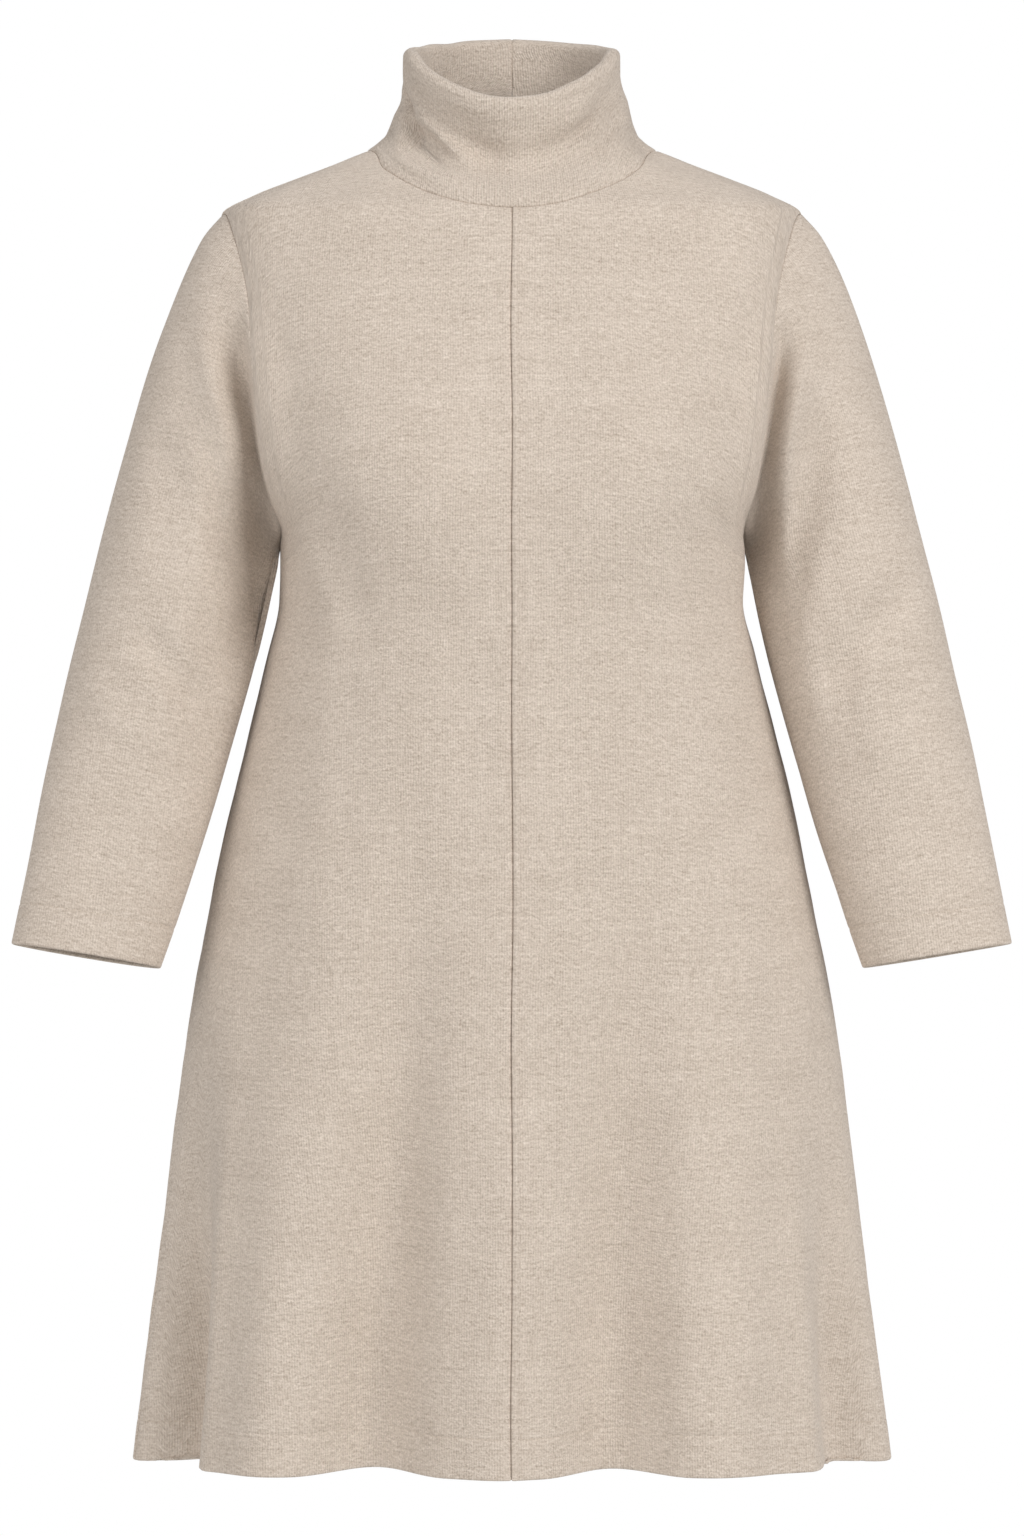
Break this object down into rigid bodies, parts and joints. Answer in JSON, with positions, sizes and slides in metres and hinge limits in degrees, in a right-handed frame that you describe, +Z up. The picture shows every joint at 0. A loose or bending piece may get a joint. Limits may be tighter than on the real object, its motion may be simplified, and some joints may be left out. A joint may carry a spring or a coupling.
{
  "type": "tunic dress",
  "caption": "A-line brushed-knit tunic dress with a soft folded funnel collar, centre front seam, set-in long sleeves and stitched hems, in worn shape with no wearer.",
  "frame": {"origin": "middle of the neck opening, level with the tops of the two shoulder seams, where the wearer's shoulders carry the dress", "axes": "+Z up the body towards the neck, the front faces -Y, the wearer's left is +X"},
  "size_m": [0.6904, 0.2823, 1.0013],
  "materials": {
    "front_left_knit": "brushed oatmeal knit",
    "front_right_knit": "brushed oatmeal knit",
    "back_knit": "brushed oatmeal knit",
    "sleeve_left_knit": "brushed oatmeal knit",
    "sleeve_right_knit": "brushed oatmeal knit",
    "collar_knit": "brushed oatmeal knit"
  },
  "bodies": {
    "root": {"front_left": "front_left_knit", "front_right": "front_right_knit", "back": "back_knit", "sleeve_left": "sleeve_left_knit", "sleeve_right": "sleeve_right_knit", "collar": "collar_knit"}
  },
  "joints": []
}
